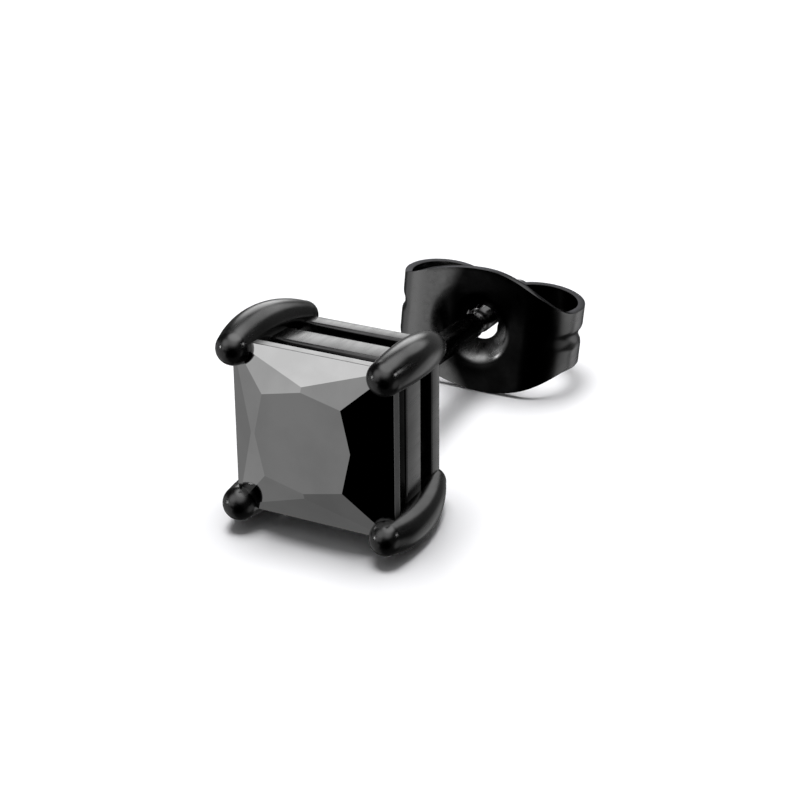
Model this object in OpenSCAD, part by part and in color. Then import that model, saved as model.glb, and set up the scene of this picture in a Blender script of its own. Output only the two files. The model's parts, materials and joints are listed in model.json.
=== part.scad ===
// Square four-prong stone stud with a butterfly clutch on its post, lying as it rests on a table.
// Every piece is drawn on the post's own line (+Y from the stone to the post's tip, y = 0 at the
// front of the stone's girdle) and then laid down by lie(). Lengths in millimetres.

/* [Stone] */
// Side of the square stone
stone_side = 5.0; // [4.6:0.05:5.4]
// Thickness of the girdle, the band round the stone's edge
girdle = 0.29; // [0.15:0.01:0.4]
// Height of the crown in front of the girdle
crown = 0.55; // [0.4:0.01:0.6]
// Half width of the table at its corners
table_corner = 1.22; // [1.0:0.01:1.4]
// Half width of the table at the middle of its sides
table_mid = 1.5; // [1.42:0.01:1.6]
// How far out the tip of each side facet lies
facet_tip = 1.65; // [1.61:0.01:1.8]
// How far the table sits to the left of the stone's middle
table_left = 0.04; // [0:0.01:0.1]
// How far the table sits above the stone's middle
table_up = 0.1; // [0:0.01:0.15]
// Depth of the upper pavilion behind the girdle
pavilion_upper = 0.81; // [0.8:0.01:0.9]
// Half width where the upper pavilion meets the lower
pavilion_half = 1.5; // [1.3:0.01:1.52]
// Depth of the lower pavilion, down to the point
pavilion_lower = 1.2; // [0.8:0.01:1.3]

/* [Setting] */
// Radius of a prong's front end
prong_front_r = 0.5; // [0.45:0.01:0.55]
// Radius of a prong's back end
prong_back_r = 0.42; // [0.35:0.01:0.5]
// How much a prong swells at its middle
prong_swell = 0.12; // [0.08:0.01:0.14]
// Centre of a prong's front end, in front of the girdle
prong_front = 0.18; // [0.1:0.01:0.25]
// Half spacing of the prongs' front ends
prong_front_half = 2.34; // [2.3:0.01:2.4]
// Centre of a prong's back end, behind the girdle's front
prong_back = 2.97; // [2.8:0.01:3.1]
// Half spacing of the prongs' back ends
prong_back_half = 2.06; // [2.0:0.01:2.2]
// How far a prong bows outwards from the line through its ends
prong_sag = 0.27; // [0.1:0.01:0.3]
// How much longer the upper left prong is at its back end
long_prong_extra = 0.25; // [0:0.01:0.3]
// How much further out the back end of the upper left prong lies
long_prong_out = 0.1; // [0:0.01:0.15]
// Half width of the front rail
front_rail_half = 2.31; // [2.25:0.01:2.36]
// Front face of the front rail
front_rail_start = 1.02; // [1.0:0.01:1.1]
// Depth of the front rail along the post's line
front_rail_depth = 0.9; // [0.8:0.01:0.95]
// Half width of the opening in the front rail
front_rail_open = 1.68; // [1.66:0.01:1.75]
// Half width of the back rail
back_rail_half = 2.25; // [2.2:0.01:2.3]
// Front face of the back rail
back_rail_start = 2.6; // [2.55:0.01:2.65]
// Depth of the back rail along the post's line
back_rail_depth = 0.55; // [0.5:0.01:0.6]
// Half width of the recess in the back rail
back_rail_open = 1.7; // [1.5:0.01:1.8]
// Thickness of the plate that closes the back rail and carries the post
back_plate = 0.3; // [0.25:0.01:0.4]

/* [Post] */
// Radius of the post
post_r = 0.4; // [0.35:0.01:0.45]
// Tip of the post
post_tip = 13.4; // [13.0:0.05:14.0]
// Where the post's friction notch starts
notch_start = 9.55; // [9.5:0.05:9.6]
// Length of the friction notch
notch_len = 0.6; // [0.55:0.01:0.7]
// Depth of the friction notch
notch_depth = 0.06; // [0.04:0.01:0.1]

/* [Clutch] */
// Front of the clutch's plate
clutch_front = 9.47; // [9.4:0.01:10.0]
// Half height of the plate at its middle
plate_half = 2.07; // [1.95:0.01:2.2]
// Radius of the plate's upper and lower edges
plate_edge_r = 4.12; // [4.0:0.01:4.6]
// How far the plate sits off the post's line, to the right
plate_shift = 0.12; // [0:0.01:0.15]
// Radius of the flatter curve that trims the upper edge, mostly on the left
trim_r = 6.5; // [6.0:0.1:7.5]
// How far that curve's middle sits off the post's line, to the right
trim_shift = 0.94; // [0.8:0.01:1.1]
// Height of that curve at its middle
trim_top = 2.04; // [2.0:0.01:2.1]
// Thickness of the sheet
sheet = 0.22; // [0.2:0.01:0.28]
// Outer radius of a scroll
scroll_r = 1.32; // [1.28:0.01:1.36]
// How much wider than that the right scroll is rolled, and the left one tighter
scroll_skew = 0.05; // [0:0.01:0.06]
// Half height of a scroll
scroll_half = 0.94; // [0.9:0.01:1.05]
// Depth of the waist pressed round a scroll
waist_depth = 0.1; // [0.06:0.01:0.12]
// Radius of the dish pressed in the plate
dish_r = 1.38; // [1.35:0.01:1.5]
// Depth of the dish
dish_depth = 0.2; // [0.15:0.01:0.25]
// Outer radius of the funnel round the hole
funnel_r = 1.1; // [1.05:0.01:1.15]
// Depth of the funnel behind the plate's front
funnel_depth = 0.62; // [0.55:0.01:0.66]
// Radius of the hole in the plate
hole_r = 0.56; // [0.55:0.01:0.6]
// Running gap between the scrolls' waists and the post
groove_gap = 0.03; // [0.02:0.01:0.06]
// Turn of the clutch round the post
clutch_turn = 5.6; // [0:0.1:8]

/* [Fit] */
// Gap left between the stone and its setting
seat_gap = 0.03; // [0.02:0.01:0.05]

/* [Hidden] */
$fn = 64;
over = 0.01;
half = stone_side / 2;

// the tip of a side facet lies in the plane of the corner facet beside it
corner_a = [half - table_corner, -crown, table_corner - half];
corner_b = [half, -crown, table_mid - half];
corner_n = cross(corner_a, corner_b);
tip_y = (corner_n[2] * (facet_tip - half) + corner_n[0] * half) / -corner_n[1];

// a prong is a row of balls along one arc in the plane through the post's line and the corner
diagonal = sqrt(2);
prong_steps = 5;
prong_fn = 24;
// the balls of a prong: [along the post, half spacing, radius]; the arc is worked out in the plane's
// own coordinates, [along the post, out towards the corner]
function prong_balls(longer, wider) =
  let (
    from = [-prong_front, prong_front_half * diagonal],
    to = [prong_back + longer, (prong_back_half + wider) * diagonal],
    chord = to - from,
    reach = norm(chord) / 2,
    arc_r = (reach * reach + prong_sag * prong_sag) / (2 * prong_sag),
    arc_centre = (from + to) / 2 - [-chord[1], chord[0]] / norm(chord) * (arc_r - prong_sag),
    first = asin((from[0] - arc_centre[0]) / arc_r),
    last = asin((to[0] - arc_centre[0]) / arc_r)
  )
  [for (i = [0:prong_steps]) let (t = i / prong_steps, a = first + (last - first) * t) [
    arc_centre[0] + arc_r * sin(a),
    (arc_centre[1] + arc_r * cos(a)) / diagonal,
    prong_front_r + (prong_back_r - prong_front_r) * t + 4 * prong_swell * t * (1 - t)
  ]];
plain_prong = prong_balls(0, 0);
long_prong = prong_balls(long_prong_extra, long_prong_out);
// flat steps round the post's tip
dome_steps = 6;

// the dish is a part of a sphere
dish_ball = (dish_r * dish_r + dish_depth * dish_depth) / (2 * dish_depth);
funnel_y = sqrt(dish_ball * dish_ball - funnel_r * funnel_r) - dish_ball + dish_depth;

// the waist pressed round a scroll is a groove that fits the post
waist_r = post_r + groove_gap;
plate_rise = plate_edge_r - plate_half;
// the scroll on a side, -1 left and 1 right: its radius and how far out its centre lies
function roll_r(side) = scroll_r + side * scroll_skew;
function roll_x(side) = waist_r + roll_r(side) - waist_depth;
// the plate and the wings in front reach back to here, and the strips behind carry on
front_depth = scroll_r - scroll_skew;

// resting on the lower prongs and the clutch's rim: each ball asks for a tilt, and the largest holds
rim_y = clutch_front + sheet;
rim_z = plate_edge_r - plate_rise * cos(clutch_turn) + plate_shift * sin(clutch_turn);
function tilt_for(b) = asin(b[2] / norm([b[1] - rim_z, rim_y - b[0]])) + atan((b[1] - rim_z) / (rim_y - b[0]));
lie_tilt = max([for (b = plain_prong) tilt_for(b)]);
lift = max([for (b = plain_prong) b[1] * cos(lie_tilt) + b[0] * sin(lie_tilt) + b[2]]);
front_end = min([for (b = plain_prong) b[0] * cos(lie_tilt) - b[1] * sin(lie_tilt) - b[2]]);
back_end = (post_tip - post_r) * cos(lie_tilt) + post_r;
right_end = (roll_x(1) + roll_r(1)) * cos(clutch_turn) + scroll_half * sin(clutch_turn);
left_prong = max([for (b = long_prong) b[1] + b[2]]);
left_roll = (roll_x(-1) + roll_r(-1)) * cos(clutch_turn) + scroll_half * sin(clutch_turn);
aside = (right_end - max(left_prong, left_roll)) / 2;
centre = (front_end + back_end) / 2;
echo(lie_tilt = lie_tilt, lift = lift, aside = aside, centre = centre);

ink = [0.05, 0.05, 0.06];
jet = [0.2, 0.2, 0.22];
steel = [0.1, 0.1, 0.11];

// turns the post's line down on to the table and centres the whole on it
module lie() {
  translate([-aside, -centre, lift])
    rotate([-lie_tilt, 0, 0]) children();
}

// a square slab across the post's line
module slab(half_width, from, to) {
  translate([-half_width, from, -half_width])
    cube([2 * half_width, to - from, 2 * half_width]);
}

// a round bar along the post's line
module bar(r, from, to) {
  translate([0, from, 0]) rotate([-90, 0, 0]) cylinder(r = r, h = to - from);
}

// one prong: a bowed round rod with round ends, above the post's line
module prong(balls) {
  hull() {
    for (b = balls) translate([0, b[0], b[1] * diagonal]) sphere(r = b[2], $fn = prong_fn);
  }
}

// the room the stone takes: girdle, the corners of the crown, and the upper pavilion
module seat() {
  room = half + seat_gap;
  slab(room, -seat_gap, girdle + seat_gap);
  hull() {
    slab(room, -seat_gap - over, -seat_gap);
    translate([-table_left, 0, table_up])
      slab(table_corner + seat_gap, -crown - seat_gap - over, -crown - seat_gap);
  }
  hull() {
    slab(room, girdle + seat_gap, girdle + seat_gap + over);
    slab(pavilion_half + seat_gap, girdle + pavilion_upper + seat_gap, girdle + pavilion_upper + seat_gap + over);
  }
}

module rails() {
  difference() {
    slab(front_rail_half, front_rail_start, front_rail_start + front_rail_depth);
    slab(front_rail_open, front_rail_start - over, front_rail_start + front_rail_depth + over);
  }
  back_face = back_rail_start + back_rail_depth;
  difference() {
    slab(back_rail_half, back_rail_start, back_face);
    slab(back_rail_open, back_rail_start - over, back_face - back_plate);
  }
}

// the post is turned: a plain rod with one shallow V notch and a round tip
module post() {
  root = back_rail_start + back_rail_depth - back_plate / 2;
  dome_start = post_tip - post_r;
  rod = [[0, root], [post_r, root], [post_r, notch_start]];
  notch = [[post_r - notch_depth, notch_start + notch_len / 2], [post_r, notch_start + notch_len]];
  dome = [for (i = [0:dome_steps - 1]) let (a = 90 * i / dome_steps)
    [post_r * cos(a), dome_start + post_r * sin(a)]];
  rotate([-90, 0, 0]) rotate_extrude()
    polygon(concat(rod, notch, dome, [[0, post_tip]]));
}

module setting() {
  color(ink) lie() {
    difference() {
      union() {
        for (a = [45, 135, 225]) rotate([0, a, 0]) prong(plain_prong);
        rotate([0, 315, 0]) prong(long_prong);
        rails();
      }
      seat();
    }
    post();
  }
}

module stone() {
  h = half;
  c = table_corner;
  m = table_mid;
  p = pavilion_half;
  y_p = girdle + pavilion_upper;
  front_points = [
    [-c, -crown, c], [0, -crown, m], [c, -crown, c], [m, -crown, 0],
    [c, -crown, -c], [0, -crown, -m], [-c, -crown, -c], [-m, -crown, 0],
    [0, tip_y, facet_tip], [facet_tip, tip_y, 0], [0, tip_y, -facet_tip], [-facet_tip, tip_y, 0]
  ];
  back_points = [
    [-h, 0, h], [h, 0, h], [h, 0, -h], [-h, 0, -h],
    [-h, girdle, h], [h, girdle, h], [h, girdle, -h], [-h, girdle, -h],
    [-p, y_p, p], [p, y_p, p], [p, y_p, -p], [-p, y_p, -p],
    [0, y_p + pavilion_lower, 0]
  ];
  // the crown leans with its table, which keeps every facet flat
  crown_points = [for (p = front_points) p + p[1] / crown * [table_left, 0, -table_up]];
  points = concat(crown_points, back_points);
  // seen from in front, corners run clockwise from the upper left and sides from the top
  table = [[0, 1, 2, 3, 4, 5, 6, 7]];
  sides = [for (i = [0:3]) [12 + i, 8 + i, 12 + (i + 1) % 4]];
  after = [for (i = [0:3]) [12 + i, 2 * i, 2 * i + 1, 8 + i]];
  before = [for (i = [0:3]) [12 + i, 8 + (i + 3) % 4, (2 * i + 7) % 8, 2 * i]];
  band = [for (i = [0:3]) [12 + i, 12 + (i + 1) % 4, 16 + (i + 1) % 4, 16 + i]];
  upper = [for (i = [0:3]) [16 + i, 16 + (i + 1) % 4, 20 + (i + 1) % 4, 20 + i]];
  lower = [for (i = [0:3]) [20 + i, 20 + (i + 1) % 4, 24]];
  flip = [for (f = concat(sides, after, before, band, upper, lower)) [for (i = [len(f) - 1:-1:0]) f[i]]];
  color(jet) lie() polyhedron(points = points, faces = concat(table, flip));
}

// the sheet rolled to the scroll on a side, from its front round the outside to the post
module scroll(side) {
  r = roll_r(side);
  translate([side * roll_x(side), r, 0]) difference() {
    cylinder(r = r, h = 2 * plate_half, center = true);
    cylinder(r = r - sheet, h = 2 * (plate_half + over), center = true);
    translate([side > 0 ? -r - over : 0, -r - over, -plate_half - over])
      cube([r + over, r + over, 2 * (plate_half + over)]);
  }
}

// the room of the strip that a scroll is rolled from, between two places behind the plate's front
module strip(from, to) {
  wide = 2 * (roll_x(1) + roll_r(1));
  translate([-wide / 2, from, -scroll_half]) cube([wide, to - from, 2 * scroll_half]);
}

// a round blank for the front of the clutch, seen from in front: its radius and its middle
module blank(r, x, z) {
  translate([x, -over, z]) rotate([-90, 0, 0]) cylinder(r = r, h = front_depth + over);
}

// the oval plate and its wings, seen from in front
module outline() {
  intersection() {
    blank(plate_edge_r, plate_shift, -plate_rise);
    blank(plate_edge_r, plate_shift, plate_rise);
    blank(trim_r, trim_shift, trim_top - trim_r);
  }
  strip(-over, front_depth);
}

module front_sheet() {
  intersection() {
    union() {
      translate([-roll_x(-1), 0, -plate_half]) cube([roll_x(-1) + roll_x(1), sheet, 2 * plate_half]);
      for (side = [-1, 1]) scroll(side);
    }
    outline();
  }
}

// the back of a scroll, with the waist pressed round it
module back_scroll(side) {
  r = roll_r(side);
  difference() {
    intersection() {
      scroll(side);
      strip(r - sheet, 2 * r + over);
    }
    translate([side * roll_x(side), r, 0])
      rotate_extrude() translate([roll_x(side), 0]) circle(r = waist_r);
  }
}

// the dish and the funnel behind it, as they stand out at the back of the plate
module dish_back() {
  intersection() {
    translate([0, dish_depth - dish_ball, 0]) sphere(r = dish_ball + sheet);
    bar(dish_r + sheet, over, dish_depth + 2 * sheet);
  }
  translate([0, funnel_y, 0]) rotate([-90, 0, 0])
    cylinder(r1 = funnel_r + sheet, r2 = hole_r + sheet / 2, h = funnel_depth - funnel_y + sheet / 2);
}

// the hollow of the dish and the funnel, and the hole
module dish_hollow() {
  translate([0, dish_depth - dish_ball, 0]) sphere(r = dish_ball);
  translate([0, funnel_y - over, 0]) rotate([-90, 0, 0])
    cylinder(r1 = funnel_r, r2 = hole_r, h = funnel_depth - funnel_y + over);
  bar(hole_r, 0, funnel_depth + sheet);
}

module clutch() {
  color(steel) lie() translate([0, clutch_front, 0]) rotate([0, clutch_turn, 0]) difference() {
    union() {
      front_sheet();
      for (side = [-1, 1]) back_scroll(side);
      translate([plate_shift, 0, 0]) dish_back();
    }
    translate([plate_shift, 0, 0]) dish_hollow();
  }
}

setting();
stone();
clutch();
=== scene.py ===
"""A black square-stone stud earring with a butterfly clutch, dressed over its solids.

Sizes are in millimetres in the post's own frame: +Y runs along the post from the stone to the
post's tip, y = 0 is the front of the stone's girdle, +Z is up across the stone. Lay puts that
frame where the solids lie, in metres.
"""

import json
import logging
import math
from dataclasses import dataclass, field
from enum import Enum

import bmesh
import bpy
from mathutils import Matrix, Vector

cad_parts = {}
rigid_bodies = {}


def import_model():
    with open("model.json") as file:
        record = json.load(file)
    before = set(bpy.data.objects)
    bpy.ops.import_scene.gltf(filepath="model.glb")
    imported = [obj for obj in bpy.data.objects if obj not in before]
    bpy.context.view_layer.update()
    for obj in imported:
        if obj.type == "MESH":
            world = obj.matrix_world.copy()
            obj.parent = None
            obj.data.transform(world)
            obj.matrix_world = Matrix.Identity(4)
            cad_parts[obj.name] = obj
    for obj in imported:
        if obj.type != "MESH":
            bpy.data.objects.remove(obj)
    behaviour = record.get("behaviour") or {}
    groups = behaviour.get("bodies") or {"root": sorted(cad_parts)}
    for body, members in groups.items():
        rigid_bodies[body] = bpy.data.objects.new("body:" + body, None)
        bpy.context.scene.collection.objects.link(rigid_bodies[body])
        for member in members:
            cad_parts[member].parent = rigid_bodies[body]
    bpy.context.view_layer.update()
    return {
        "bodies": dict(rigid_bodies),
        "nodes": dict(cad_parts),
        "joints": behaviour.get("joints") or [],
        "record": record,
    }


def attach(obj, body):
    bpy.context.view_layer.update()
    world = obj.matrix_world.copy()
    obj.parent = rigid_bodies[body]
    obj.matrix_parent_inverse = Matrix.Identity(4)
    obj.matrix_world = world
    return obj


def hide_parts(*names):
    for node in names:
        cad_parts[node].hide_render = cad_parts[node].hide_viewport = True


LOG = logging.getLogger("earring")
MM = 0.001
# Edges sharper than this stay sharp on a smooth piece
SMOOTH_LIMIT = math.radians(38)
# How much stronger the blue of a grey is than its red and green
COOLNESS = 1.02
# Points closer than this, in mm, become one
MERGE_DISTANCE = 1e-6
# Keeps the cosine of an angle inside the range that has an arc
NEARLY_ONE = 0.99999
# How far behind the girdle's front the post's mount lies, in mm
MOUNT_MARK = 6.35
Points = list[Vector]
Faces = list[tuple[int, ...]]
# What a Math node takes
Number = float | bpy.types.NodeSocket


class Body(Enum):
    """The solids' bodies that a piece can ride on."""

    STUD = "stud"
    CLUTCH = "clutch"


# Where things lie


@dataclass(frozen=True)
class Lay:
    """The post's own frame as it lies on the table."""

    matrix: Matrix

    @staticmethod
    def from_record(record: dict, mark: float) -> "Lay":
        """Reads the post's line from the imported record.

        Args:
            record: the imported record, with the post as its first mount.
            mark: how far behind the girdle's front the mount's point lies, in mm.

        Returns:
            the frame, turning mm on the post's line into metres on the table.
        """
        mount = record["mounts"][0]
        along = Vector(mount["axis"]).normalized()
        right = Vector((1, 0, 0))
        up = right.cross(along)
        origin = Vector(mount["pos_m"]) - along * mark * MM
        turn = Matrix((right, along, up)).transposed().to_4x4()
        return Lay(Matrix.Translation(origin) @ turn @ Matrix.Scale(MM, 4))

    def put(self, mesh: bpy.types.Mesh) -> None:
        """Moves a mesh drawn in mm on the post's line to its place on the table."""
        mesh.transform(self.matrix)
        mesh.update()

    def point(self, place: Vector) -> Vector:
        """A point of the post's frame, in metres on the table."""
        return self.matrix @ place

    def direction(self, way: Vector) -> Vector:
        """A direction of the post's frame, as it points over the table."""
        return (self.matrix.to_3x3() @ way).normalized()


# Finishes


class Nodes:
    """A shorthand for building a node tree."""

    def __init__(self, tree: bpy.types.NodeTree) -> None:
        """Takes the tree that the nodes go into."""
        self.tree = tree

    def add(self, kind: str, values: dict | None = None, **settings: object) -> bpy.types.Node:
        """Adds one node.

        Args:
            kind: the node's type name.
            values: numbers, colours or sockets for its inputs, by name or by place.
            settings: the node's own properties.

        Returns:
            the new node.
        """
        node = self.tree.nodes.new(kind)
        for name, value in settings.items():
            setattr(node, name, value)
        for key, value in (values or {}).items():
            if isinstance(value, bpy.types.NodeSocket):
                self.tree.links.new(value, node.inputs[key])
            else:
                node.inputs[key].default_value = value
        return node

    def maths(self, operation: str, *values: Number) -> bpy.types.NodeSocket:
        """Adds a Math node and returns its result."""
        return self.add("ShaderNodeMath", dict(enumerate(values)), operation=operation).outputs[0]

    def range(self, value: bpy.types.NodeSocket, low: float, high: float,
              to_low: float, to_high: float) -> bpy.types.NodeSocket:
        """Maps a value smoothly from one range to another.

        Args:
            value: the value.
            low: where its range starts.
            high: where its range ends.
            to_low: what the start becomes.
            to_high: what the end becomes.

        Returns:
            the mapped value.
        """
        values = {"Value": value, "From Min": low, "From Max": high, "To Min": to_low, "To Max": to_high}
        node = self.add("ShaderNodeMapRange", values, interpolation_type="SMOOTHSTEP")
        return node.outputs["Result"]

    def blend(self, share: bpy.types.NodeSocket, first: tuple, second: tuple,
              target: bpy.types.NodeSocket) -> None:
        """Blends two colours and sends the result to a socket.

        Args:
            share: how much of the second colour there is, from 0 to 1.
            first: the first colour.
            second: the second colour.
            target: the socket that takes the blend.
        """
        node = self.add("ShaderNodeMix", data_type="RGBA")
        # A Mix node's colours are its inputs 6 and 7 and its output 2
        factor, a, b = (node.inputs[i] for i in (0, 6, 7))
        self.tree.links.new(share, factor)
        a.default_value, b.default_value = first, second
        self.tree.links.new(node.outputs[2], target)

    def post_frame(self, lay: Lay) -> list[bpy.types.NodeSocket]:
        """Gives a surface its own place in the post's frame.

        Args:
            lay: where the post's frame lies.

        Returns:
            the place's x, y and z, in mm.
        """
        place = self.add("ShaderNodeTexCoord").outputs["Object"]
        origin, turn, scale = lay.matrix.decompose()
        frame = {"Vector": place, "Location": origin, "Rotation": turn.to_euler(), "Scale": scale}
        centred = self.add("ShaderNodeMapping", frame, vector_type="TEXTURE").outputs["Vector"]
        return list(self.add("ShaderNodeSeparateXYZ", {"Vector": centred}).outputs)

    def length(self, x: bpy.types.NodeSocket, z: bpy.types.NodeSocket) -> bpy.types.NodeSocket:
        """The distance of a place from the origin, of its x and z."""
        squares = self.maths("ADD", self.maths("POWER", x, 2.0), self.maths("POWER", z, 2.0))
        return self.maths("SQRT", squares)

    def dot(self, way: bpy.types.NodeSocket, fixed: tuple[float, ...]) -> bpy.types.NodeSocket:
        """Multiplies a direction with a fixed one and returns their dot product."""
        values = {0: way, 1: fixed}
        return self.add("ShaderNodeVectorMath", values, operation="DOT_PRODUCT").outputs["Value"]

    def upright(self) -> bpy.types.NodeSocket:
        """How far a surface faces up: 1 for straight up and -1 for straight down."""
        return self.dot(self.add("ShaderNodeNewGeometry").outputs["Normal"], (0, 0, 1))

    def noise(self, place: bpy.types.NodeSocket, scale: float, detail: float) -> bpy.types.NodeSocket:
        """Adds a noise of that many cells a metre and returns its value."""
        values = {"Vector": place, "Scale": scale, "Detail": detail}
        return self.add("ShaderNodeTexNoise", values).outputs["Fac"]


def grey(level: float) -> tuple[float, float, float, float]:
    """A grey of that level, a touch cool."""
    return (level, level, level * COOLNESS, 1.0)


def new_material(name: str) -> tuple[bpy.types.Material, Nodes, bpy.types.Node]:
    """Makes an empty surface.

    Args:
        name: the material's name.

    Returns:
        the material, its node helper and its surface shader.
    """
    material = bpy.data.materials.new(name)
    material.use_nodes = True
    material.node_tree.nodes.clear()
    nodes = Nodes(material.node_tree)
    shader = nodes.add("ShaderNodeBsdfPrincipled")
    nodes.add("ShaderNodeOutputMaterial", {"Surface": shader.outputs["BSDF"]})
    return material, nodes, shader


@dataclass(frozen=True)
class BlackMetal:
    """Black-plated metal: a deep gloss with faint polishing marks and clouds of slight wear."""

    name: str
    tint: float = 0.042
    worn: float = 0.06
    rough_low: float = 0.18
    rough_high: float = 0.28
    cloud_scale: float = 900.0
    cloud_detail: float = 4.0
    cloud_edges: tuple[float, float] = (0.35, 0.75)
    mark_scale: float = 5200.0
    mark_detail: float = 6.0
    mark_edges: tuple[float, float] = (0.3, 0.7)
    mark_stretch: tuple[float, float, float] = (1.0, 0.18, 1.0)
    mark_strength: float = 0.6
    mark_height: float = 0.0000016
    edge_tint: float = 1.0

    def material(self, lay: Lay) -> bpy.types.Material:
        """Builds the surface.

        Args:
            lay: where the post's frame lies.

        Returns:
            the material.
        """
        material, nodes, shader = new_material(self.name)
        place = nodes.add("ShaderNodeTexCoord").outputs["Object"]
        cloud = nodes.noise(place, self.cloud_scale, self.cloud_detail)
        streaks = nodes.add("ShaderNodeMapping", {"Vector": place, "Scale": self.mark_stretch})
        marks = nodes.noise(streaks.outputs["Vector"], self.mark_scale, self.mark_detail)
        wear = nodes.range(cloud, *self.cloud_edges, self.tint, self.worn)
        nodes.tree.links.new(self.polish(nodes, lay, wear), shader.inputs["Base Color"])
        rough = nodes.range(marks, *self.mark_edges, self.rough_low, self.rough_high)
        nodes.tree.links.new(rough, shader.inputs["Roughness"])
        relief = {"Strength": self.mark_strength, "Distance": self.mark_height, "Height": marks}
        bump = nodes.add("ShaderNodeBump", relief)
        nodes.tree.links.new(bump.outputs["Normal"], shader.inputs["Normal"])
        shader.inputs["Metallic"].default_value = 1.0
        shader.inputs["Specular Tint"].default_value = grey(self.edge_tint)
        return material

    def polish(self, nodes: Nodes, lay: Lay, wear: bpy.types.NodeSocket) -> bpy.types.NodeSocket:
        """How much the metal shines from place to place: here, the same clouds of wear all over."""
        return wear


@dataclass(frozen=True)
class PaintedReflectionMetal(BlackMetal):
    """The same plating with its light painted in: painted reflection outside an oval on the plate, a painted
    highlight in the dish below the post, and near black inside the oval.

    Places and reaches are in mm of the post's frame; each edge or blur is how softly a painted part ends.
    """

    # Darker than the setting's plating: a painted dark reflection in the plate's middle
    tint: float = 0.006
    worn: float = 0.012
    edge_tint: float = 0.45
    painted_reflection: float = 0.21
    rim_painted_highlight: float = 0.035
    patch_x: float = 1.0
    patch_wide: float = 1.9
    patch_high: float = 3.0
    patch_edges: tuple[float, float] = (0.85, 1.15)
    hole_x: float = 0.12
    funnel_reach: float = 1.25
    funnel_blur: float = 0.3
    dish_x: float = 0.5
    dish_z: float = -0.6
    dish_radius: float = 1.1
    dish_blur: float = 0.35
    dish_painted_highlight: float = 0.3
    rim_edges: tuple[float, float] = (0.6, 0.85)

    def polish(self, nodes: Nodes, lay: Lay, wear: bpy.types.NodeSocket) -> bpy.types.NodeSocket:
        """How much the metal shines from place to place, with painted reflections and highlights.

        Args:
            nodes: the material's nodes.
            lay: where the post's frame lies.
            wear: the clouds of wear.

        Returns:
            the wear with the painted reflection outside the oval and the painted highlight in the dish added,
            and only a faint painted highlight on the sheet's cut edges.
        """
        x, _, z = nodes.post_frame(lay)
        # Painted reflection: the plate is brighter outside an oval and stays near black inside it
        across = nodes.maths("DIVIDE", nodes.maths("SUBTRACT", x, self.patch_x), self.patch_wide)
        oval = nodes.length(across, nodes.maths("DIVIDE", z, self.patch_high))
        outside = nodes.range(oval, *self.patch_edges, 0.0, self.painted_reflection)
        # Painted highlight in the dish below the post, inside the funnel round the hole
        off = nodes.length(nodes.maths("SUBTRACT", x, self.dish_x), nodes.maths("SUBTRACT", z, self.dish_z))
        low = nodes.range(off, self.dish_radius - self.dish_blur, self.dish_radius, self.dish_painted_highlight, 0.0)
        around = nodes.length(nodes.maths("SUBTRACT", x, self.hole_x), z)
        funnel = nodes.range(around, self.funnel_reach - self.funnel_blur, self.funnel_reach, 1.0, 0.0)
        # The sheet's cut edges, facing up or down, get only a faint painted highlight
        rim = nodes.range(nodes.maths("ABSOLUTE", nodes.upright()), *self.rim_edges, 0.0, 1.0)
        painted_reflection = nodes.maths("ADD", outside, nodes.maths("MULTIPLY", low, funnel))
        face = nodes.maths("MULTIPLY", nodes.maths("SUBTRACT", 1.0, rim), painted_reflection)
        edge = nodes.maths("MULTIPLY", rim, self.rim_painted_highlight)
        return nodes.maths("ADD", wear, nodes.maths("ADD", face, edge))


@dataclass(frozen=True)
class BlackStone:
    """Opaque polished black stone: bright, sharp reflections, and a dull girdle with a painted highlight
    along its top.

    The girdle's sizes are in mm along the post's line; a thin line in front of the painted top highlight
    stays dull.
    """

    name: str
    shine: float = 0.3
    veil: float = 0.27
    rough_low: float = 0.03
    rough_high: float = 0.07
    cloud_scale: float = 700.0
    cloud_detail: float = 5.0
    cloud_edges: tuple[float, float] = (0.35, 0.7)
    polish_scale: float = 4200.0
    polish_detail: float = 3.0
    polish_edges: tuple[float, float] = (0.3, 0.7)
    girdle: float = 0.29
    girdle_inner: float = 0.015
    girdle_outer: float = 0.005
    girdle_shine: float = 0.015
    girdle_top_painted_highlight: float = 0.16
    top_highlight_edges: tuple[float, float] = (0.6, 0.9)
    top_highlight_start: tuple[float, float] = (0.05, 0.07)
    girdle_rough: float = 0.3

    def material(self, lay: Lay) -> bpy.types.Material:
        """Builds the surface.

        Args:
            lay: where the post's frame lies.

        Returns:
            the material.
        """
        material, nodes, shader = new_material(self.name)
        place = nodes.add("ShaderNodeTexCoord").outputs["Object"]
        _, along, _ = nodes.post_frame(lay)
        half = self.girdle / 2
        middle = nodes.maths("ABSOLUTE", nodes.maths("SUBTRACT", along, half))
        band = nodes.range(middle, half - self.girdle_inner, half + self.girdle_outer, 1.0, 0.0)
        haze = nodes.noise(place, self.cloud_scale, self.cloud_detail)
        cloud = nodes.range(haze, *self.cloud_edges, self.shine, self.veil)
        # Painted highlight: the upward-facing top of the girdle is made brighter
        top = nodes.range(nodes.upright(), *self.top_highlight_edges, 0.0, self.girdle_top_painted_highlight)
        top = nodes.maths("MULTIPLY", top, nodes.range(along, *self.top_highlight_start, 0.0, 1.0))
        edge = nodes.maths("ADD", top, self.girdle_shine)
        dulled = nodes.maths("MULTIPLY", band, nodes.maths("SUBTRACT", edge, cloud))
        nodes.tree.links.new(nodes.maths("ADD", cloud, dulled), shader.inputs["Base Color"])
        polish = nodes.noise(place, self.polish_scale, self.polish_detail)
        rough = nodes.range(polish, *self.polish_edges, self.rough_low, self.rough_high)
        frosted = nodes.maths("MULTIPLY", band, self.girdle_rough)
        nodes.tree.links.new(nodes.maths("ADD", rough, frosted), shader.inputs["Roughness"])
        shader.inputs["Metallic"].default_value = 1.0
        return material


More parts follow.
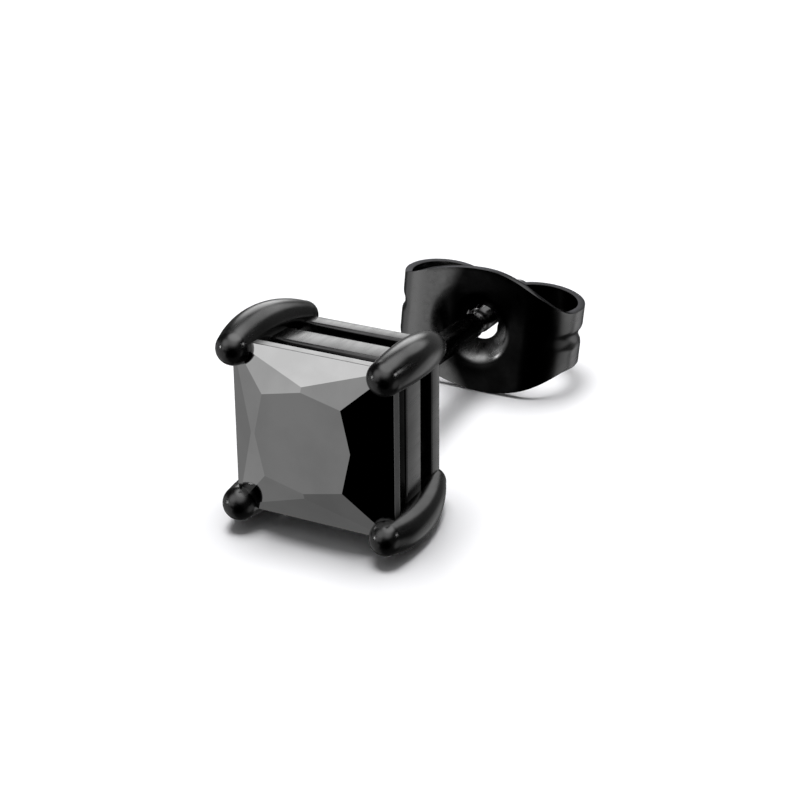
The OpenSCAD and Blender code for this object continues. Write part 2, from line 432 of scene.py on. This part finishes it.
@dataclass(frozen=True)
class PaleTable:
    """The plain white surface under the earring."""

    name: str
    shade: float = 0.92
    grain_fade: float = 0.99
    grain_scale: float = 260.0
    grain_detail: float = 3.0
    rough: float = 0.6

    def material(self) -> bpy.types.Material:
        """Builds the surface.

        Returns:
            the material.
        """
        material, nodes, shader = new_material(self.name)
        place = nodes.add("ShaderNodeTexCoord").outputs["Object"]
        grain = nodes.noise(place, self.grain_scale, self.grain_detail)
        nodes.blend(grain, grey(self.shade), grey(self.shade * self.grain_fade), shader.inputs["Base Color"])
        shader.inputs["Roughness"].default_value = self.rough
        return material


# Meshes


def new_piece(name: str, points: Points, faces: Faces) -> bpy.types.Object:
    """Makes a linked object from points and faces, turned outwards.

    Args:
        name: the object's name.
        points: its points.
        faces: its faces, as point numbers.

    Returns:
        the object.
    """
    mesh = bpy.data.meshes.new(name)
    mesh.from_pydata([tuple(p) for p in points], [], faces)
    work = bmesh.new()
    work.from_mesh(mesh)
    bmesh.ops.remove_doubles(work, verts=work.verts, dist=MERGE_DISTANCE)
    bmesh.ops.recalc_face_normals(work, faces=work.faces)
    work.to_mesh(mesh)
    work.free()
    piece = bpy.data.objects.new(name, mesh)
    bpy.context.scene.collection.objects.link(piece)
    return piece


def settle(piece: bpy.types.Object) -> None:
    """Turns a piece's modifiers into plain mesh and smooths it, with its sharp edges kept.

    Args:
        piece: the object.
    """
    graph = bpy.context.evaluated_depsgraph_get()
    mesh = bpy.data.meshes.new_from_object(piece.evaluated_get(graph), depsgraph=graph)
    piece.modifiers.clear()
    piece.data = mesh
    mesh.name = piece.name
    mesh.polygons.foreach_set("use_smooth", [True] * len(mesh.polygons))
    mesh.set_sharp_from_angle(angle=SMOOTH_LIMIT)
    mesh.update()


def bevel(piece: bpy.types.Object, width: float, steps: int, limit: float = 30.0) -> None:
    """Rounds a piece's sharp edges.

    Args:
        piece: the object.
        width: the rounding's width, in mm.
        steps: how many steps the rounding takes.
        limit: edges sharper than this many degrees are rounded.
    """
    rounding = piece.modifiers.new("rounding", "BEVEL")
    rounding.width = width
    rounding.segments = steps
    rounding.limit_method = "ANGLE"
    rounding.angle_limit = math.radians(limit)
    rounding.harden_normals = False


def turned(profile: list[tuple[float, float]], sides: int) -> tuple[Points, Faces]:
    """Turns an outline about the post's line.

    Args:
        profile: (radius, place along the post) pairs; it starts and ends on the line.
        sides: how many sides the turned piece has.

    Returns:
        points and faces.
    """
    points: Points = []
    faces: Faces = []
    for radius, along in profile:
        for k in range(sides):
            a = 2 * math.pi * k / sides
            points.append(Vector((radius * math.cos(a), along, radius * math.sin(a))))
    for i in range(len(profile) - 1):
        for k in range(sides):
            after = (k + 1) % sides
            faces.append((i * sides + k, i * sides + after, (i + 1) * sides + after, (i + 1) * sides + k))
    return points, faces


# The setting


@dataclass
class Prongs:
    """Bowed round rods with bead ends, round the stone's corners.

    Corner 0 is the upper right one as the photograph shows it, and the others follow clockwise.
    """

    name: str
    first: int
    count: int
    longer: float = 0.0
    wider: float = 0.0
    corners: int = 4
    front: float = -0.18
    front_half: float = 2.34
    front_radius: float = 0.50
    back: float = 2.97
    back_half: float = 2.06
    back_radius: float = 0.42
    swell: float = 0.12
    sag: float = 0.27
    stations: int = 36
    cap_steps: int = 10
    cap_start: float = 0.35
    sides: int = 40

    def cap_angle(self, step: int) -> float:
        """The angle of a step of a round end, from its tip towards the rod."""
        return math.pi / 2 * (1 - (step + self.cap_start) / self.cap_steps)

    def line(self) -> tuple[Points, list[float]]:
        """Draws a prong above the post's line: an arc, with a round end before and behind it.

        Returns:
            the points of its centre line and the rod's radius at each.
        """
        start = Vector((self.front, self.front_half * math.sqrt(2)))
        end = Vector((self.back + self.longer, (self.back_half + self.wider) * math.sqrt(2)))
        chord = end - start
        reach = chord.length / 2
        bow = (reach * reach + self.sag * self.sag) / (2 * self.sag)
        across = Vector((-chord.y, chord.x)).normalized()
        centre = (start + end) / 2 - across * (bow - self.sag)
        first = math.asin((start.x - centre.x) / bow)
        last = math.asin((end.x - centre.x) / bow)
        places: list[tuple[float, float]] = []
        for i in range(self.cap_steps):
            a = self.cap_angle(i)
            places.append((first - self.front_radius * math.sin(a) / bow, self.front_radius * math.cos(a)))
        for i in range(self.stations + 1):
            t = i / self.stations
            swell = 4 * self.swell * t * (1 - t)
            radius = self.front_radius + (self.back_radius - self.front_radius) * t + swell
            places.append((first + (last - first) * t, radius))
        for i in reversed(range(self.cap_steps)):
            a = self.cap_angle(i)
            places.append((last + self.back_radius * math.sin(a) / bow, self.back_radius * math.cos(a)))
        line = [Vector((0, centre.x + bow * math.sin(a), centre.y + bow * math.cos(a))) for a, _ in places]
        return line, [radius for _, radius in places]

    def tree(self, metal: bpy.types.Material) -> bpy.types.NodeTree:
        """Builds the nodes that sweep one prong and repeat it round the post's line.

        Args:
            metal: the prongs' surface.

        Returns:
            the node tree.
        """
        tree = bpy.data.node_groups.new("prongs round the stone", "GeometryNodeTree")
        face = tree.interface
        face.new_socket("Geometry", in_out="INPUT", socket_type="NodeSocketGeometry")
        for name in ("Corners", "First Corner", "Prongs", "Sides"):
            face.new_socket(name, in_out="INPUT", socket_type="NodeSocketInt")
        face.new_socket("Geometry", in_out="OUTPUT", socket_type="NodeSocketGeometry")
        nodes = Nodes(tree)
        given = nodes.add("NodeGroupInput").outputs
        curve = nodes.add("GeometryNodeMeshToCurve", {"Mesh": given["Geometry"]}).outputs["Curve"]
        thick = nodes.add("GeometryNodeInputNamedAttribute", {"Name": "rod_radius"}, data_type="FLOAT")
        ring = nodes.add("GeometryNodeCurvePrimitiveCircle", {"Resolution": given["Sides"], "Radius": 1.0})
        rod = nodes.add("GeometryNodeCurveToMesh", {
            "Curve": curve, "Profile Curve": ring.outputs["Curve"], "Scale": thick.outputs["Attribute"],
            "Fill Caps": True})
        spots = nodes.add("GeometryNodeMeshLine", {"Count": given["Prongs"], "Offset": (0.0, 0.0, 0.0)})
        index = nodes.add("GeometryNodeInputIndex").outputs["Index"]
        step = nodes.maths("DIVIDE", 2 * math.pi, given["Corners"])
        corner = nodes.maths("ADD", nodes.maths("ADD", index, given["First Corner"]), 0.5)
        spin = nodes.add("ShaderNodeCombineXYZ", {"Y": nodes.maths("MULTIPLY", corner, step)})
        placed = nodes.add("GeometryNodeInstanceOnPoints", {
            "Points": spots.outputs["Mesh"], "Instance": rod.outputs["Mesh"],
            "Rotation": spin.outputs["Vector"]})
        real = nodes.add("GeometryNodeRealizeInstances", {"Geometry": placed.outputs["Instances"]})
        dressed = nodes.add("GeometryNodeSetMaterial", {
            "Geometry": real.outputs["Geometry"], "Material": metal})
        nodes.add("NodeGroupOutput", {"Geometry": dressed.outputs["Geometry"]})
        return tree

    def build(self, metal: bpy.types.Material) -> bpy.types.Object:
        """Makes the prongs as one piece.

        Args:
            metal: their surface.

        Returns:
            the piece.
        """
        line, radii = self.line()
        mesh = bpy.data.meshes.new(self.name)
        mesh.from_pydata([tuple(p) for p in line], [(i, i + 1) for i in range(len(line) - 1)], [])
        mesh.attributes.new("rod_radius", "FLOAT", "POINT").data.foreach_set("value", radii)
        piece = bpy.data.objects.new(self.name, mesh)
        bpy.context.scene.collection.objects.link(piece)
        tree = self.tree(metal)
        repeat = piece.modifiers.new("repeat", "NODES")
        repeat.node_group = tree
        sockets = {s.name: s.identifier for s in tree.interface.items_tree if s.in_out == "INPUT"}
        sizes = {
            "Corners": self.corners, "First Corner": self.first, "Prongs": self.count, "Sides": self.sides}
        for name, size in sizes.items():
            repeat[sockets[name]] = size
        settle(piece)
        return piece


@dataclass
class Rail:
    """One square rail of the basket: a flat-sided ring with softened edges, in mm."""

    name: str
    half: float
    opening: float
    start: float
    depth: float
    edge: float = 0.09
    edge_steps: int = 4

    def build(self) -> bpy.types.Object:
        """Makes the rail.

        Returns:
            the piece.
        """
        corners = [(1, 1), (-1, 1), (-1, -1), (1, -1)]
        points: Points = []
        for half, along in ((self.half, self.start), (self.half, self.start + self.depth),
                            (self.opening, self.start + self.depth), (self.opening, self.start)):
            points += [Vector((x * half, along, z * half)) for x, z in corners]
        faces: Faces = []
        for ring in range(4):
            for k in range(4):
                a, b = ring * 4, (ring + 1) % 4 * 4
                faces.append((a + k, a + (k + 1) % 4, b + (k + 1) % 4, b + k))
        piece = new_piece(self.name, points, faces)
        bevel(piece, self.edge, self.edge_steps)
        settle(piece)
        return piece


@dataclass
class BackPlate:
    """The plate that closes the back rail and carries the post."""

    half: float = 1.78
    start: float = 2.84
    depth: float = 0.29
    edge: float = 0.02
    edge_steps: int = 2

    def build(self) -> bpy.types.Object:
        """Makes the plate.

        Returns:
            the piece.
        """
        points = [Vector((x * self.half, self.start + y * self.depth, z * self.half))
                  for y in (0, 1) for x, z in ((1, 1), (-1, 1), (-1, -1), (1, -1))]
        faces: Faces = [(0, 1, 2, 3), (7, 6, 5, 4)]
        faces += [(k, 4 + k, 4 + (k + 1) % 4, (k + 1) % 4) for k in range(4)]
        piece = new_piece("back_plate", points, faces)
        bevel(piece, self.edge, self.edge_steps)
        settle(piece)
        return piece


@dataclass
class Post:
    """The straight post with its friction notch, round tip and a small fillet at its root."""

    radius: float = 0.4
    root: float = 3.0
    tip: float = 13.4
    notch_start: float = 9.55
    notch_length: float = 0.6
    notch_depth: float = 0.06
    fillet: float = 0.1
    fillet_steps: int = 6
    fillet_foot: float = 3.13
    sides: int = 64
    dome_steps: int = 12
    notch_steps: int = 12

    def build(self) -> bpy.types.Object:
        """Makes the post.

        Returns:
            the piece.
        """
        profile = [(0.0, self.root), (self.radius + self.fillet, self.root)]
        for i in range(self.fillet_steps + 1):
            a = math.pi / 2 * i / self.fillet_steps
            profile.append((self.radius + self.fillet * (1 - math.sin(a)),
                            self.fillet_foot + self.fillet * (1 - math.cos(a))))
        for i in range(self.notch_steps + 1):
            t = i / self.notch_steps
            profile.append((self.radius - self.notch_depth * math.sin(math.pi * t) ** 2,
                            self.notch_start + self.notch_length * t))
        dome = self.tip - self.radius
        for i in range(self.dome_steps + 1):
            a = math.pi / 2 * i / self.dome_steps
            profile.append((self.radius * math.cos(a), dome + self.radius * math.sin(a)))
        profile[-1] = (0.0, self.tip)
        piece = new_piece("post", *turned(profile, self.sides))
        settle(piece)
        return piece


@dataclass
class Setting:
    """The soldered metal basket with its post."""

    metal: BlackMetal = field(default_factory=lambda: BlackMetal("blackened setting"))
    prongs: Prongs = field(default_factory=lambda: Prongs("prongs", first=0, count=3))
    long_prong: Prongs = field(
        default_factory=lambda: Prongs("long_prong", first=3, count=1, longer=0.25, wider=0.1))
    front_rail: Rail = field(default_factory=lambda: Rail(
        "front_rail", half=2.31, opening=1.68, start=1.02, depth=0.9))
    back_rail: Rail = field(default_factory=lambda: Rail(
        "back_rail", half=2.25, opening=1.7, start=2.6, depth=0.55))
    back_plate: BackPlate = field(default_factory=BackPlate)
    post: Post = field(default_factory=Post)

    def build(self, lay: Lay) -> list[bpy.types.Object]:
        """Makes and dresses the metal pieces that stand for the setting.

        Args:
            lay: where the post's frame lies.

        Returns:
            the pieces.
        """
        metal = self.metal.material(lay)
        pieces = [prong.build(metal) for prong in (self.prongs, self.long_prong)]
        pieces += [part.build() for part in (self.front_rail, self.back_rail, self.back_plate, self.post)]
        for piece in pieces:
            finish_piece(piece, lay, metal, Body.STUD, "setting")
        return pieces


# The stone


@dataclass
class Stone:
    """The faceted stone: its own solid, polished."""

    finish: BlackStone = field(default_factory=lambda: BlackStone("polished black stone"))

    def dress(self, node: bpy.types.Object, lay: Lay) -> None:
        """Gives the stone's solid its finish.

        Args:
            node: the stone's solid.
            lay: where the post's frame lies.
        """
        material = self.finish.material(lay)
        if not node.material_slots:
            node.data.materials.append(material)
        for slot in node.material_slots:
            slot.material = material


# The clutch


@dataclass
class Clutch:
    """The pressed butterfly clutch: an oval dished plate whose wings curl round into scrolls.

    The clutch's own frame has its origin on the post's line at the plate's front. The waist is pressed
    from waist_start to waist_full degrees round a scroll, and the dish fades out by dish_fade degrees.
    """

    metal: PaintedReflectionMetal = field(default_factory=lambda: PaintedReflectionMetal("blackened clutch"))
    front: float = 9.47
    turn: float = 5.6
    plate_half: float = 2.07
    edge_radius: float = 4.12
    plate_shift: float = 0.12
    trim_radius: float = 6.5
    trim_shift: float = 0.94
    trim_top: float = 2.04
    sheet: float = 0.22
    scroll_mean: float = 1.32
    scroll_skew: float = 0.05
    scroll_half: float = 0.94
    waist_depth: float = 0.1
    waist_radius: float = 0.43
    waist_start: float = 25.0
    waist_full: float = 75.0
    dish_radius: float = 1.38
    dish_depth: float = 0.2
    dish_fade: float = 40.0
    roll_degrees: float = 270.0
    funnel_radius: float = 1.1
    funnel_depth: float = 0.62
    hole_radius: float = 0.56
    centre_half: float = 1.45
    edge_blend: float = 0.006
    funnel_blend: float = 0.012
    dish_blend: float = 0.002
    waist_blend: float = 0.0006
    rim_edge: float = 0.05
    rim_steps: int = 3
    rim_limit: float = 50.0
    across: int = 28
    wing_steps: int = 84
    ring_radii: tuple[float, ...] = (0.56, 0.58, 0.62, 0.68, 0.76, 0.85, 0.94, 1.04, 1.14, 1.24, 1.32)
    fill_shares: tuple[float, ...] = (0.25, 0.55, 0.8, 1.0)

    def roll_radius(self, side: int) -> float:
        """The outer radius of the scroll on a side, -1 left and 1 right."""
        return self.scroll_mean + side * self.scroll_skew

    def roll_x(self, side: int) -> float:
        """How far out the centre of a side's scroll lies."""
        return self.waist_radius + self.roll_radius(side) - self.waist_depth

    def oval(self, x: float) -> float:
        """Half the height of the oval plate at x."""
        off = x - self.plate_shift
        return math.sqrt(self.edge_radius ** 2 - off * off) - (self.edge_radius - self.plate_half)

    def trim(self, x: float) -> float:
        """The height of the flatter curve that trims the upper edge at x."""
        rise = math.sqrt(self.trim_radius ** 2 - (x - self.trim_shift) ** 2)
        return rise - self.trim_radius + self.trim_top

    def height(self, x: float, v: float) -> float:
        """The height of a place on the sheet at x.

        The sheet's edge is the oval, trimmed above, as far out as the scrolls' straight strip.

        Args:
            x: how far right the place lies.
            v: the place across the sheet, from -1 at the bottom to 1 at the top.

        Returns:
            the height.
        """
        oval = self.oval(x)
        if v > 0:
            oval -= smooth_rise(oval - self.trim(x), self.edge_blend)
        return (self.scroll_half + smooth_rise(oval - self.scroll_half, self.edge_blend)) * v

    def dish(self, x: float, z: float) -> float:
        """How far the plate is pressed back at a place.

        Args:
            x: how far right the place lies.
            z: how high it lies.

        Returns:
            the depth of the dish there, or of the funnel round the hole.
        """
        r = math.hypot(x - self.plate_shift, z)
        ball = (self.dish_radius ** 2 + self.dish_depth ** 2) / (2 * self.dish_depth)
        bowl = math.sqrt(max(ball * ball - r * r, 0)) - ball + self.dish_depth
        edge = math.sqrt(ball * ball - self.funnel_radius ** 2) - ball + self.dish_depth
        slope = (self.funnel_depth - edge) / (self.funnel_radius - self.hole_radius)
        funnel = edge + (self.funnel_radius - r) * slope
        return smooth_rise(bowl + smooth_rise(funnel - bowl, self.funnel_blend), self.dish_blend)

    def sheet_point(self, s: float, v: float) -> Vector:
        """A point of the sheet's outer face.

        Args:
            s: the distance along the sheet from the post's line, in mm, to the left if negative.
            v: the place across it, from -1 at the bottom to 1 at the top.

        Returns:
            the point, in the clutch's own frame.
        """
        side = 1 if s >= 0 else -1
        centre, rolled = self.roll_x(side), self.roll_radius(side)
        run = abs(s)
        if run <= centre:
            z = self.height(s, v)
            return Vector((s, self.dish(s, z), z))
        a = (run - centre) / rolled
        degrees = math.degrees(a)
        z = self.height(side * (centre + rolled * math.sin(a)), v) if degrees < 90 else self.scroll_half * v
        radius = rolled - self.waist(z) * smooth_step(degrees, self.waist_start, self.waist_full)
        place = Vector((side * (centre + radius * math.sin(a)), rolled - radius * math.cos(a), z))
        place.y += self.dish(place.x, z) * (1 - smooth_step(degrees, 0, self.dish_fade))
        return place

    def waist(self, z: float) -> float:
        """How deep the scroll's waist is pressed.

        Args:
            z: the height of the place.

        Returns:
            the depth.
        """
        reach = self.waist_radius - self.waist_depth
        inside = self.waist_radius ** 2 - z * z
        return smooth_rise((math.sqrt(inside) if inside > 0 else 0.0) - reach, self.waist_blend)

    def outline_point(self, k: int) -> Vector:
        """A point on the edge of the plate's middle part.

        Args:
            k: the point's number, counted round from the lower right corner.

        Returns:
            the point.
        """
        side, step = divmod(k, self.across)
        t = 2 * step / self.across - 1
        if side == 0:
            return self.sheet_point(self.centre_half, t)
        if side == 1:
            return self.sheet_point(-self.centre_half * t, 1)
        if side == 2:
            return self.sheet_point(-self.centre_half, -t)
        return self.sheet_point(self.centre_half * t, -1)

    def surface(self) -> tuple[Points, Faces]:
        """Draws the outer face of the whole sheet: rings round the hole, then the two wings.

        Returns:
            points and faces.
        """
        points: Points = []
        faces: Faces = []
        around = 4 * self.across
        rims = [self.outline_point(k) for k in range(around)]
        angles = [2 * math.pi * k / around - math.pi / 4 for k in range(around)]
        for r in self.ring_radii:
            for a in angles:
                x, z = self.plate_shift + r * math.cos(a), r * math.sin(a)
                points.append(Vector((x, self.dish(x, z), z)))
        last = points[-around:]
        for t in self.fill_shares:
            for ring, rim in zip(last, rims):
                flat = ring.lerp(rim, t)
                points.append(Vector((flat.x, self.dish(flat.x, flat.z), flat.z)))
        rings = len(self.ring_radii) + len(self.fill_shares)
        for i in range(rings - 1):
            inner, outer = i * around, (i + 1) * around
            for k in range(around):
                after = (k + 1) % around
                faces.append((inner + k, inner + after, outer + after, outer + k))
        for side in (1, -1):
            wing_points, wing_faces = self.wing(side, len(points))
            points += wing_points
            faces += wing_faces
        return points, faces

    def wing(self, side: int, base: int) -> tuple[Points, Faces]:
        """Draws the outer face of one wing, from the plate's middle part to the end of its scroll.

        Args:
            side: -1 for the left wing and 1 for the right.
            base: the number that its first point gets.

        Returns:
            points and faces.
        """
        points: Points = []
        faces: Faces = []
        row = self.across + 1
        length = self.roll_x(side) + self.roll_radius(side) * math.radians(self.roll_degrees)
        for i in range(self.wing_steps + 1):
            s = self.centre_half + (length - self.centre_half) * i / self.wing_steps
            points += [self.sheet_point(side * s, 2 * j / self.across - 1) for j in range(row)]
        for i in range(self.wing_steps):
            for j in range(self.across):
                a = base + i * row + j
                b = a + row
                faces.append((a, b, b + 1, a + 1) if side > 0 else (a, a + 1, b + 1, b))
        return points, faces

    def build(self, lay: Lay) -> bpy.types.Object:
        """Makes and dresses the clutch.

        Args:
            lay: where the post's frame lies.

        Returns:
            the piece.
        """
        piece = new_piece("butterfly_clutch", *self.surface())
        self.face_front(piece)
        wall = piece.modifiers.new("sheet", "SOLIDIFY")
        wall.thickness = self.sheet
        wall.offset = -1.0
        wall.use_even_offset = False
        wall.use_quality_normals = True
        bevel(piece, self.rim_edge, self.rim_steps, self.rim_limit)
        settle(piece)
        place = Matrix.Translation((0, self.front, 0)) @ Matrix.Rotation(math.radians(self.turn), 4, "Y")
        piece.data.transform(place)
        finish_piece(piece, lay, self.metal.material(lay), Body.CLUTCH, "clutch")
        return piece

    @staticmethod
    def face_front(piece: bpy.types.Object) -> None:
        """Turns the open sheet so that its outer face looks outwards, to the front on the plate.

        Args:
            piece: the sheet.
        """
        mesh = piece.data
        lead = min(mesh.polygons, key=lambda p: p.center.y)
        if lead.normal.y > 0:
            mesh.flip_normals()


def smooth_rise(value: float, blend: float) -> float:
    """The value where it is positive and nothing where it is negative, with a soft bend between."""
    return (value + math.sqrt(value * value + blend)) / 2


def smooth_step(value: float, low: float, high: float) -> float:
    """Goes smoothly from 0 at low to 1 at high."""
    t = min(max((value - low) / (high - low), 0.0), 1.0)
    return t * t * (3 - 2 * t)


def finish_piece(piece: bpy.types.Object, lay: Lay, metal: bpy.types.Material, body: Body, node: str) -> None:
    """Lays a piece down, dresses it, hides the solid it stands for and puts it on that solid's body.

    Args:
        piece: the object, drawn in mm on the post's line.
        lay: where the post's frame lies.
        metal: its surface.
        body: the body it rides on.
        node: the solid it stands for, which is hidden.
    """
    lay.put(piece.data)
    piece.data.materials.clear()
    piece.data.materials.append(metal)
    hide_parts(node)
    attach(piece, body.value)


# Table, light and camera


@dataclass(frozen=True)
class Patch:
    """One soft patch of the studio, in degrees: even out to inner, gone by outer."""

    azimuth: float
    elevation: float
    inner: float
    outer: float
    level: float

    @property
    def way(self) -> Vector:
        """The direction of the patch's middle; azimuth 0 is towards -Y, positive to +X."""
        a, e = math.radians(self.azimuth), math.radians(self.elevation)
        return Vector((math.sin(a) * math.cos(e), -math.cos(a) * math.cos(e), math.sin(e)))


@dataclass
class Studio:
    """The white table and the soft studio: a dim room with bright and dark cards, and a lamp overhead.

    The room lights the table with a share, spill, of what the metal and the stone mirror, and what shows
    behind the table is as pale as backdrop.
    """

    table: PaleTable = field(default_factory=lambda: PaleTable("white table"))
    table_half: float = 0.6
    room: float = 0.06
    lamp_way: tuple[float, float, float] = (-0.05, 0.13, 0.98)
    lamp_spread: float = 34.0
    lamp_power: float = 3.3
    spill: float = 0.13
    backdrop: float = 0.98
    patches: tuple[Patch, ...] = (
        Patch(180, 5, 30, 60, 0.24),
        Patch(40, 64, 12, 44, 2.0),
        Patch(160, 76, 22, 42, 3.6),
        Patch(172, 33, 12, 22, 2.4),
        Patch(-68, -20, 34, 46, 0.55),
        Patch(100, -26, 12, 28, 0.6),
        Patch(-36, 45, 12, 36, 2.0),
        Patch(-36, 14, 7, 15, 1.17),
        Patch(-18, 18, 7, 15, 0.85),
        Patch(-88, -22, 12, 22, 0.42),
        Patch(-64, -20, 12, 20, 0.64),
        Patch(-66, -61, 8, 18, 0.3),
        Patch(-33, -51, 6, 12, 0.3),
        Patch(-53, -49, 5, 11, 0.44),
        Patch(-27.5, -18, 7, 13, 0.54),
        Patch(24, -14, 26, 36, 0.0),
        Patch(-152, 18, 8, 20, 3.3),
        Patch(150, -29, 12, 24, 0.9),
        Patch(-60, 9, 2, 6, 16.0),
        Patch(110, 22, 2, 6, 16.0),
    )

    def build(self) -> None:
        """Makes the table, the lamp and the room."""
        h = self.table_half
        corners = [Vector((x, y, 0)) for x, y in ((-h, -h), (h, -h), (h, h), (-h, h))]
        floor = new_piece("table", corners, [(0, 1, 2, 3)])
        floor.data.materials.append(self.table.material())
        if floor.data.polygons[0].normal.z < 0:
            floor.data.flip_normals()
        floor.visible_glossy = False
        lamp = bpy.data.objects.new("lamp", bpy.data.lights.new("lamp", "SUN"))
        lamp.data.angle = math.radians(self.lamp_spread)
        lamp.data.energy = self.lamp_power
        lamp.rotation_mode = "QUATERNION"
        lamp.rotation_quaternion = Vector(self.lamp_way).to_track_quat("Z", "Y")
        lamp.visible_glossy = False
        bpy.context.scene.collection.objects.link(lamp)
        self.light_room()

    def light_room(self) -> None:
        """Paints the room round the earring as soft patches of light and dark."""
        world = bpy.data.worlds.new("soft studio")
        world.use_nodes = True
        world.node_tree.nodes.clear()
        nodes = Nodes(world.node_tree)
        way = nodes.add("ShaderNodeTexCoord").outputs["Generated"]
        unit = nodes.add("ShaderNodeVectorMath", {0: way}, operation="NORMALIZE").outputs["Vector"]
        level: Number = self.room
        for patch in self.patches:
            cosine = nodes.dot(unit, tuple(patch.way))
            off = nodes.maths("ARCCOSINE", nodes.maths("MULTIPLY", cosine, NEARLY_ONE))
            mask = nodes.range(off, math.radians(patch.inner), math.radians(patch.outer), 1.0, 0.0)
            change = nodes.maths("SUBTRACT", patch.level, level)
            level = nodes.maths("ADD", level, nodes.maths("MULTIPLY", change, mask))
        seen = nodes.add("ShaderNodeLightPath").outputs
        share = nodes.range(seen["Is Glossy Ray"], 0.0, 1.0, self.spill, 1.0)
        level = nodes.maths("MULTIPLY", level, share)
        paler = nodes.maths("MULTIPLY", nodes.maths("SUBTRACT", self.backdrop, level), seen["Is Camera Ray"])
        level = nodes.maths("ADD", level, paler)
        light = nodes.add("ShaderNodeBackground", {"Color": (1, 1, 1, 1), "Strength": level})
        nodes.add("ShaderNodeOutputWorld", {"Surface": light.outputs["Background"]})
        bpy.context.scene.world = world


@dataclass(frozen=True)
class Viewpoint:
    """The photograph's camera, given in the post's frame: angles in degrees, places and lens in mm."""

    azimuth: float = 28.61
    elevation: float = 23.45
    roll: float = 0.5
    right: float = -2.35
    up: float = -1.09
    distance: float = 54.29
    lens: float = 90.0
    sensor: float = 36.0
    near: float = 0.001
    far: float = 10.0

    def build(self, lay: Lay) -> None:
        """Makes the camera and hands it to the scene.

        Args:
            lay: where the post's frame lies.
        """
        a, e, r = (math.radians(v) for v in (self.azimuth, self.elevation, self.roll))
        right = Vector((math.cos(a), math.sin(a), 0))
        back = Vector((math.sin(a) * math.cos(e), -math.cos(a) * math.cos(e), math.sin(e)))
        up = back.cross(right)
        rolled_right = right * math.cos(r) - up * math.sin(r)
        rolled_up = right * math.sin(r) + up * math.cos(r)
        centre = back * self.distance - rolled_right * self.right - rolled_up * self.up
        axes = [lay.direction(v) for v in (rolled_right, rolled_up, back)]
        camera = bpy.data.objects.new("camera", bpy.data.cameras.new("camera"))
        camera.data.lens = self.lens
        camera.data.sensor_width = self.sensor
        camera.data.clip_start = self.near
        camera.data.clip_end = self.far
        camera.matrix_world = Matrix.Translation(lay.point(centre)) @ Matrix(axes).transposed().to_4x4()
        bpy.context.scene.collection.objects.link(camera)
        bpy.context.scene.camera = camera
        bpy.context.scene.view_settings.view_transform = "Standard"


def main() -> None:
    """Builds the earring over its solids, then the table, the light and the camera."""
    logging.basicConfig(level=logging.INFO, format="%(name)s: %(message)s")
    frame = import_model()
    lay = Lay.from_record(frame["record"], MOUNT_MARK)
    for piece in Setting().build(lay):
        LOG.info("%s: %d faces", piece.name, len(piece.data.polygons))
    Stone().dress(frame["nodes"]["stone"], lay)
    LOG.info("stone dressed")
    clutch = Clutch().build(lay)
    LOG.info("%s: %d faces", clutch.name, len(clutch.data.polygons))
    Studio().build()
    Viewpoint().build(lay)


if __name__ == "__main__":
    main()
